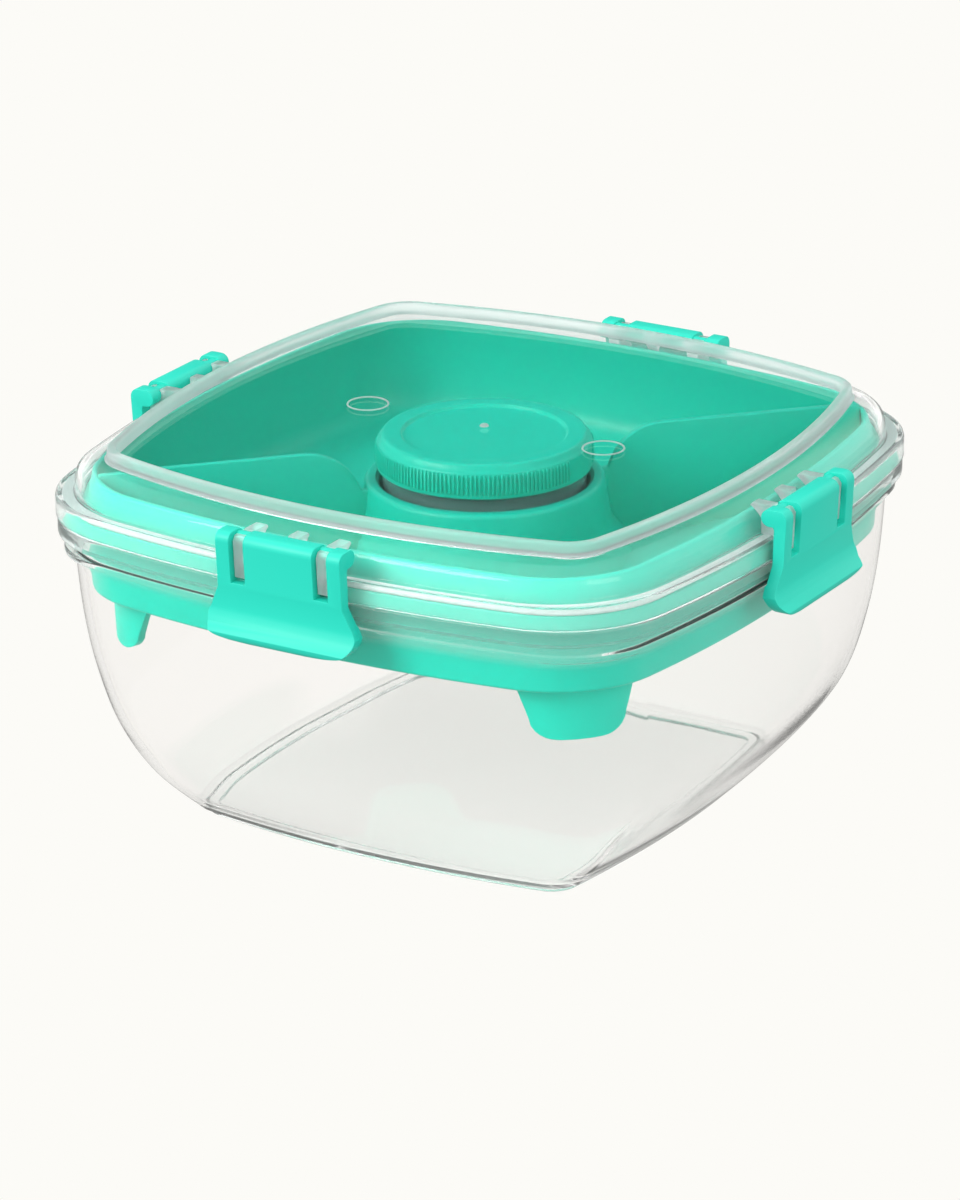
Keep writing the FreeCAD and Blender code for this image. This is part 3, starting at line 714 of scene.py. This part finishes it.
def make_lid_marks():
    """The moulding point in the middle of the window and the two round ejector marks."""
    gate = turned("gate_mark", round_profile([(0, WINDOW_TOP - 0.1), (1.1, WINDOW_TOP - 0.1),
                                              (0.8, WINDOW_TOP + 0.45), (0, WINDOW_TOP + 0.5)],
                                             [0, 0, 0.3, 0]), frosted_plastic, 24)
    marks = [gate]
    for side in (-1, 1):
        ring = turned("round_mark", [
            (4.45, WINDOW_TOP - 0.05), (4.95, WINDOW_TOP - 0.05),
            (4.85, WINDOW_TOP + 0.18), (4.6, WINDOW_TOP + 0.18),
        ], frosted_plastic, 48)
        ring.data.transform(Matrix.Translation((MARK_PLACE * side * MM, 0, 0)))
        ring.name = "round_mark_left" if side < 0 else "round_mark_right"
        marks.append(ring)
    for mark in marks:
        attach(mark, "lid_body")


def make_lid_seal():
    outer = inset(SKIRT, SKIRT_WALL + 0.08)
    inner = inset(DOME[0], -0.12)
    ring = [
        inset(inner, 0, SEAL_BOTTOM + 0.5), inset(inner, -0.5, SEAL_BOTTOM),
        inset(outer, 0.5, SEAL_BOTTOM), inset(outer, 0, SEAL_BOTTOM + 0.5),
        inset(outer, 0, SEAL_TOP), inset(inner, 0, SEAL_TOP),
    ]
    seal = swept("lid_seal_ring", ring, silicone, closed=True)
    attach(seal, "lid_body")
    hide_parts("lid_seal")


# ---------------------------------------------------------------- clips

LOBE = 2.0
CLIP_FACE = 86.6
CLIP_INNER = 83.5
CLIP_TOP_HALF = 16.0
CLIP_FOOT_HALF = 19.0
CLIP_BOTTOM = 62.4
CLIP_WAIST = 69.4
CATCH_TIP = 82.4
SLOT_FLOOR = 75.6
FOOT_CORNER = 4.2
FOOT_BOW = 120.0
# the solids that shape a clip's face stand this far out and are this deep
CUTTER_PLACE = 85
CUTTER_DEPTH = 30


def make_clips():
    top = PIN_RISE + LOBE
    profile = arc((PIN_REACH, PIN_RISE), LOBE, 90, 270, 14)
    profile += [
        (CLIP_INNER - 0.3, PIN_RISE - LOBE), (CLIP_INNER, PIN_RISE - LOBE - 0.5),
        (CLIP_INNER - 0.3, RIM_TOP), (CATCH_TIP + 0.4, RIM[0] - 0.3), (CATCH_TIP, RIM[0] - 0.9),
        (CATCH_TIP, RIM[0] - 3.0), (CATCH_TIP + 1.6, RIM[0] - 6.0),
    ]
    profile += arc((CLIP_FACE, CLIP_BOTTOM + 1.7), 1.65, 205, 335, 8)
    profile += [(CLIP_FACE + 1.7, CLIP_BOTTOM + 2.0), (CLIP_FACE - 0.1, CLIP_WAIST - 3.4)]
    profile += [(CLIP_FACE - 0.7, CLIP_WAIST - 2.2), (CLIP_FACE - 1.05, CLIP_WAIST - 1.1)]
    profile += [(CLIP_FACE - 1.2, CLIP_WAIST)]
    profile += [(CLIP_FACE - 0.6, RIM_TOP), (CLIP_FACE, PIN_RISE - 0.4)]
    profile += arc((CLIP_FACE - 2.0, top - 2.0), 2.0, 0, 90, 6)
    blank = extruded("clip_blank", profile, 2 * CLIP_FOOT_HALF, clip_plastic)
    front = [(CLIP_TOP_HALF, top + 2), (-CLIP_TOP_HALF, top + 2), (-CLIP_TOP_HALF, RIM_TOP)]
    front += arc((-CLIP_FOOT_HALF + FOOT_CORNER, CLIP_BOTTOM + 5.3), FOOT_CORNER, 180, 262, 7)
    front += arc((0, CLIP_BOTTOM + FOOT_BOW), FOOT_BOW, 264, 276, 8)
    front += arc((CLIP_FOOT_HALF - FOOT_CORNER, CLIP_BOTTOM + 5.3), FOOT_CORNER, 278, 360, 7)
    front += [(CLIP_TOP_HALF, RIM_TOP)]
    keep = extruded("clip_front_shape", front, CUTTER_DEPTH, clip_plastic, axis="X")
    keep.data.transform(Matrix.Translation((CUTTER_PLACE * MM, 0, 0)))
    combine(blank, [keep], "INTERSECT")
    slots = []
    for side in (-1, 1):
        near = SLOT_PLACE * side - SLOT_WIDTH / 2
        far = near + SLOT_WIDTH
        cut = [(near, SLOT_FLOOR), (near, 95), (far, 95), (far, SLOT_FLOOR)]
        slot = extruded("slot", cut, CUTTER_DEPTH, clip_plastic, axis="X")
        slot.data.transform(Matrix.Translation((CUTTER_PLACE * MM, 0, 0)))
        slots.append(slot)
    combine(blank, slots, "DIFFERENCE")
    soften(blank, 0.45, 28.0, 3)
    pin = extruded("pin", arc((PIN_REACH, PIN_RISE), PIN_RADIUS, 0, 345, 23),
                   2 * SLOT_PLACE + SLOT_WIDTH + 2, clip_plastic)
    combine(blank, [pin], "UNION")
    for side, angle in SIDES.items():
        clip = spin_copy(blank, "clip_%s_shell" % side, angle)
        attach(clip, "clip_%s_body" % side)
        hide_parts("clip_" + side)
    bpy.data.objects.remove(blank, do_unlink=True)


# ---------------------------------------------------------------- dressing pot

POT_BOTTOM = 46.0
POT_RADIUS = 23.4
POT_WALL = 1.3
POT_NECK = 22.0
POT_RIM = 83.2
POT_SHOULDER = 77.2
CAP_RADIUS = 25.0
CAP_BOTTOM = 77.7
CAP_TOP = 85.6
CAP_BORE = 23.3
CAP_RECESS = 18.6
LINER = 0.8
GRIP_PITCH = 2.3
GRIP_DEPTH = 0.42
# the grip's two patches: the middle of each, and how many ribs lie to either side of it
GRIP_MIDDLES = (-82.0, 98.0)
GRIP_RIBS = 32


def make_pot():
    inner = POT_RADIUS - POT_WALL
    profile = [
        (0, POT_BOTTOM), (POT_RADIUS - 0.6, POT_BOTTOM), (POT_RADIUS, POT_SHOULDER),
        (POT_NECK, POT_SHOULDER), (POT_NECK, POT_RIM), (POT_NECK - POT_WALL, POT_RIM),
        (POT_NECK - POT_WALL, POT_SHOULDER - 0.5), (inner, POT_SHOULDER - 2.2),
        (inner - 0.6, POT_BOTTOM + POT_WALL), (0, POT_BOTTOM + POT_WALL),
    ]
    radii = [0, 2.4, 0.7, 0.2, 0.5, 0.5, 0.4, 0.5, 2.0, 0]
    pot = turned("pot_cup", round_profile(profile, radii), pot_plastic_painted_shade, 128)
    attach(pot, "pot_body")
    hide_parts("dressing_pot")


def make_pot_lid():
    ceiling = POT_RIM + LINER + 0.1
    profile = [
        (0, ceiling), (CAP_BORE, ceiling), (CAP_BORE, CAP_BOTTOM), (CAP_RADIUS - 0.35, CAP_BOTTOM),
        (CAP_RADIUS - 0.35, CAP_TOP - 1.9), (CAP_RADIUS - 1.0, CAP_TOP - 1.3),
        (CAP_RADIUS - 1.7, CAP_TOP - 0.1), (CAP_RADIUS - 2.9, CAP_TOP),
        (CAP_RECESS + 0.5, CAP_TOP - 0.1), (CAP_RECESS, CAP_TOP - 0.9), (0, CAP_TOP - 0.9),
    ]
    radii = [0, 0.4, 0.3, 0.4, 0.5, 0.4, 0.5, 0.5, 0.25, 0.3, 0]
    cap = turned("pot_cap", round_profile(profile, radii, 6), cap_plastic, 144)
    ribs = []
    low = CAP_BOTTOM + 0.9
    high = CAP_TOP - 2.1
    for middle in GRIP_MIDDLES:
        for i in range(-GRIP_RIBS, GRIP_RIBS + 1):
            ribs.append(middle + i * GRIP_PITCH)
    points = []
    faces = []
    heights = ((low, 0.0), (low + 0.35, GRIP_DEPTH), (high - 0.5, GRIP_DEPTH), (high, 0.0))
    for angle in ribs:
        base = len(points)
        for z, depth in heights:
            for offset, share in ((-0.8, -0.15), (-0.35, 1.0), (0.35, 1.0), (0.8, -0.15)):
                a = math.radians(angle + offset)
                radius = CAP_RADIUS - 0.4 + (depth * share if share > 0 else share)
                points.append((radius * math.cos(a), radius * math.sin(a), z))
        for row in range(3):
            for column in range(3):
                k = base + row * 4 + column
                faces.append((k, k + 1, k + 5, k + 4))
        faces.append((base, base + 4, base + 8, base + 12,
                      base + 15, base + 11, base + 7, base + 3))
        faces.append((base, base + 3, base + 2, base + 1))
        faces.append((base + 12, base + 13, base + 14, base + 15))
    grip = mesh_object("pot_cap_grip", points, faces, cap_plastic, 50.0)
    for piece in (cap, grip):
        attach(piece, "pot_lid_body")
    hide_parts("pot_lid")
    seat = POT_RIM + 0.05
    seal = turned("pot_cap_seal", round_profile([
        (0, seat), (CAP_BORE - 0.4, seat), (CAP_BORE - 0.4, seat + LINER), (0, seat + LINER),
    ], [0, 0.2, 0.2, 0]), silicone)
    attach(seal, "pot_seal_body")
    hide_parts("pot_lid_seal")


# ---------------------------------------------------------------- studio

def area_light(name, place, target, size, power):
    lamp = bpy.data.lights.new(name, "AREA")
    lamp.shape = "RECTANGLE"
    lamp.size = size[0]
    lamp.size_y = size[1]
    lamp.energy = power
    obj = bpy.data.objects.new(name, lamp)
    obj.location = place
    obj.rotation_euler = (Vector(target) - Vector(place)).to_track_quat("-Z", "Y").to_euler()
    bpy.context.scene.collection.objects.link(obj)


SKY = 1.15
DARK_CARD = (-0.486, 0.797, 0.358)
TABLE_BOUNCE = 0.5


def make_studio():
    """A glowing table under an even sky, with a dark card behind for the lid to mirror."""
    floor_mesh = bpy.data.meshes.new("floor")
    reach = 6.0
    floor_mesh.from_pydata([
        (-reach, -reach, 0), (reach, -reach, 0), (reach, reach, 0), (-reach, reach, 0),
    ], [], [(0, 1, 2, 3)])
    floor = bpy.data.objects.new("floor", floor_mesh)
    bpy.context.scene.collection.objects.link(floor)
    floor.location.z = -0.0002
    floor.data.materials.append(glowing_table())
    world = bpy.data.worlds.new("studio")
    world.use_nodes = True
    nodes = world.node_tree.nodes
    links = world.node_tree.links
    sky = nodes["Background"]
    sky.inputs["Color"].default_value = (1.0, 0.995, 0.985, 1.0)
    way = nodes.new("ShaderNodeTexCoord")
    aim = nodes.new("ShaderNodeVectorMath")
    aim.operation = "DOT_PRODUCT"
    aim.inputs[1].default_value = DARK_CARD
    card = nodes.new("ShaderNodeMapRange")
    card.inputs["From Min"].default_value = 0.92
    card.inputs["From Max"].default_value = 0.975
    card.inputs["To Min"].default_value = SKY
    card.inputs["To Max"].default_value = 0.02
    links.new(way.outputs["Generated"], aim.inputs[0])
    links.new(aim.outputs["Value"], card.inputs["Value"])
    links.new(card.outputs["Result"], sky.inputs["Strength"])
    bpy.context.scene.world = world
    middle = (0, 0, 0.06)
    area_light("key", (-0.55, -1.0, 0.75), middle, (0.7, 0.5), 10.0)
    area_light("fill", (1.0, -0.35, 0.55), middle, (0.6, 0.6), 2.5)
    area_light("top", (-0.1, 0.15, 1.2), middle, (0.9, 0.9), 0.4)


def glowing_table():
    """Even off-white that takes no shadow."""
    material = bpy.data.materials.new("table_glow")
    material.use_nodes = True
    nodes = material.node_tree.nodes
    links = material.node_tree.links
    nodes.remove(nodes["Principled BSDF"])
    glow = nodes.new("ShaderNodeEmission")
    glow.inputs["Color"].default_value = (0.974, 0.965, 0.930, 1.0)
    path = nodes.new("ShaderNodeLightPath")
    mirrored = nodes.new("ShaderNodeMath")
    mirrored.operation = "SUBTRACT"
    mirrored.use_clamp = True
    links.new(path.outputs["Is Glossy Ray"], mirrored.inputs[0])
    links.new(path.outputs["Is Transmission Ray"], mirrored.inputs[1])
    bounced = nodes.new("ShaderNodeMath")
    bounced.operation = "MAXIMUM"
    links.new(mirrored.outputs["Value"], bounced.inputs[0])
    links.new(path.outputs["Is Diffuse Ray"], bounced.inputs[1])
    dim = nodes.new("ShaderNodeMapRange")
    dim.inputs["To Min"].default_value = 1.0
    dim.inputs["To Max"].default_value = TABLE_BOUNCE
    links.new(bounced.outputs["Value"], dim.inputs["Value"])
    links.new(dim.outputs["Result"], glow.inputs["Strength"])
    links.new(glow.outputs["Emission"], nodes["Material Output"].inputs["Surface"])
    return material


def make_camera():
    """A long lens, about 31 degrees round from the front and 21 degrees up."""
    azimuth = math.radians(31.4)
    elevation = math.radians(21.0)
    distance = 1.309
    roll = math.radians(-0.7)
    target = Vector((0, 0, 0.0452))
    back = Vector((math.sin(azimuth) * math.cos(elevation),
                   -math.cos(azimuth) * math.cos(elevation), math.sin(elevation)))
    lens = bpy.data.cameras.new("camera")
    lens.sensor_width = 36.0
    lens.lens = 170.6
    lens.shift_x = -0.0053
    lens.clip_start = 0.05
    camera = bpy.data.objects.new("camera", lens)
    turn = (-back).to_track_quat("-Z", "Y").to_matrix().to_4x4()
    camera.matrix_world = (Matrix.Translation(target + back * distance) @ turn
                           @ Matrix.Rotation(roll, 4, "Z"))
    bpy.context.scene.collection.objects.link(camera)
    bpy.context.scene.camera = camera


make_bowl()
make_tray()
make_lid()
make_lid_marks()
make_lid_seal()
make_clips()
make_pot()
make_pot_lid()
make_studio()
make_camera()
bpy.context.scene.view_settings.view_transform = "Standard"
